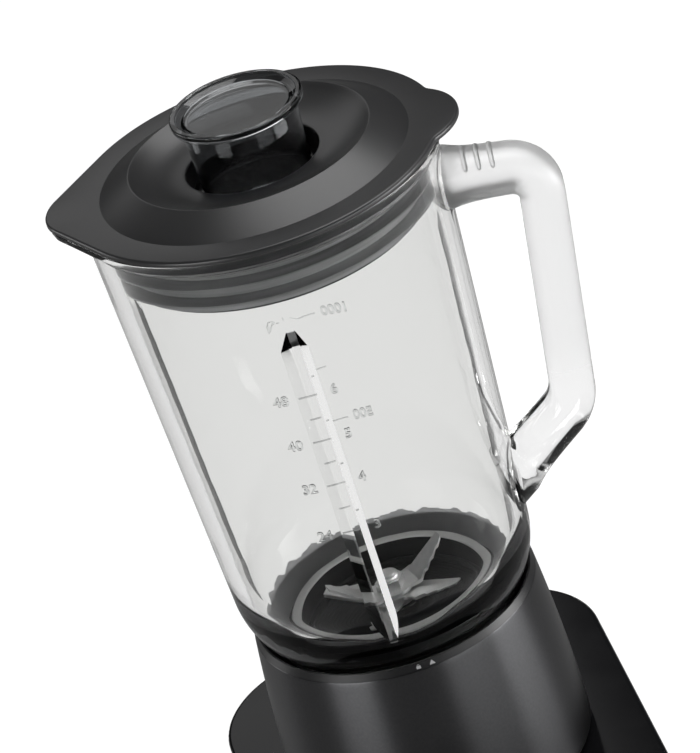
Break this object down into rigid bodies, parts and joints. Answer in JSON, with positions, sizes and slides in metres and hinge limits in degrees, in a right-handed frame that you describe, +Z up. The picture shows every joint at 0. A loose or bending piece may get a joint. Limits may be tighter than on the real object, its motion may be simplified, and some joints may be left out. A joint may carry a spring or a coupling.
{
  "type": "countertop blender",
  "caption": "Countertop blender with a glass handled jug, plug-in lid with measuring cup, stacked blades and a round motor body on a wide rounded plinth.",
  "frame": {"origin": "on the table plane, straight under the drive axis, which is also the centre of the plinth's outline", "axes": "+Z up along the drive axis; the front, where the knob is, faces -Y; the jug's handle points to about +X, turned a little towards -Y, and its spout to about -X"},
  "size_m": [0.2061, 0.2305, 0.369],
  "materials": {
    "clear_glass": "clear, polished",
    "smoked_plastic": "clear smoked plastic",
    "lid_plastic": "satin",
    "grey_rubber": "matt",
    "black_rubber": "matt",
    "black_plastic": "matt",
    "gloss_black": "glossy",
    "graphite_metal": "satin metallic",
    "knob_plastic": "satin",
    "pale_plastic": "matt",
    "blade_steel": "polished steel",
    "plain_steel": "plain steel",
    "copper": "lacquered copper",
    "cast_aluminium": "as cast",
    "carbon": "matt carbon",
    "board_green": "coated board"
  },
  "bodies": {
    "base": {"rubber_feet": "black_rubber", "bottom_cover": "black_plastic", "plinth": "gloss_black", "body_shell": "graphite_metal", "collar": "black_plastic", "upper_bearing": "plain_steel", "lower_bearing": "plain_steel", "upper_bracket": "cast_aluminium", "lower_bracket": "cast_aluminium", "stator_core": "plain_steel", "field_windings": "copper", "brush_holders": "pale_plastic", "carbon_brushes": "carbon", "brush_springs": "plain_steel", "motor_bolts": "plain_steel", "bracket_screws": "plain_steel", "motor_grommets": "black_rubber", "chassis_screws": "plain_steel", "cover_screws": "plain_steel", "safety_switch": "black_plastic", "control_board": "board_green", "board_components": "pale_plastic", "selector_switch": "black_plastic", "cord_bush": "black_rubber", "terminal_block": "pale_plastic"},
    "rotor": {"motor_shaft": "plain_steel", "rotor_core": "plain_steel", "rotor_winding": "copper", "commutator": "copper", "cooling_fan": "black_plastic", "drive_coupling": "black_plastic"},
    "lock": {"lock_ring": "black_plastic"},
    "jug": {"glass_jug": "clear_glass", "foot_ring": "black_plastic", "jug_gasket": "grey_rubber", "blade_holder": "black_plastic", "shaft_bush": "copper", "shaft_seal": "black_rubber"},
    "blades": {"blade_shaft": "blade_steel", "driven_coupling": "black_plastic", "lower_blade": "blade_steel", "middle_blade": "blade_steel", "upper_blade": "blade_steel", "blade_spacers": "blade_steel", "blade_nut": "blade_steel"},
    "lid": {"lid": "lid_plastic", "lid_seal": "grey_rubber"},
    "cup": {"measuring_cup": "smoked_plastic"},
    "interlock": {"interlock_plunger": "black_plastic", "switch_button": "pale_plastic"},
    "knob": {"knob": "knob_plastic", "selector_shaft": "plain_steel"}
  },
  "joints": [
    {"name": "motor_spin", "type": "hinge", "parent": "base", "child": "rotor", "pos_m": [0, 0, 0.06], "axis": [0, 0, 1], "continuous": true},
    {"name": "jug_turn", "type": "hinge", "parent": "base", "child": "lock", "pos_m": [0, 0, 0.1], "axis": [0, 0, 1], "range_deg": [0, 85]},
    {"name": "jug_lift", "type": "slide", "parent": "lock", "child": "jug", "axis": [0, 0, 1], "range_m": [0, 0.15]},
    {"name": "blade_spin", "type": "hinge", "parent": "jug", "child": "blades", "pos_m": [0, 0, 0.12], "axis": [0, 0, 1], "continuous": true},
    {"name": "lid_lift", "type": "slide", "parent": "jug", "child": "lid", "axis": [0, 0, 1], "range_m": [0, 0.12]},
    {"name": "cup_lift", "type": "slide", "parent": "lid", "child": "cup", "axis": [0, 0, 1], "range_m": [0, 0.08]},
    {"name": "plunger_slide", "type": "slide", "parent": "base", "child": "interlock", "axis": [0, 0, 1], "range_m": [0, 0.00201]},
    {"name": "knob_turn", "type": "hinge", "parent": "base", "child": "knob", "pos_m": [0, -0.091, 0.04], "axis": [0, 0, 1], "range_deg": [-140, 40]}
  ],
  "couplings": [
    {"joint": "blade_spin", "follows": "motor_spin", "ratio": 1},
    {"joint": "plunger_slide", "follows": "jug_turn", "m_per_rad": 0.0013481}
  ]
}
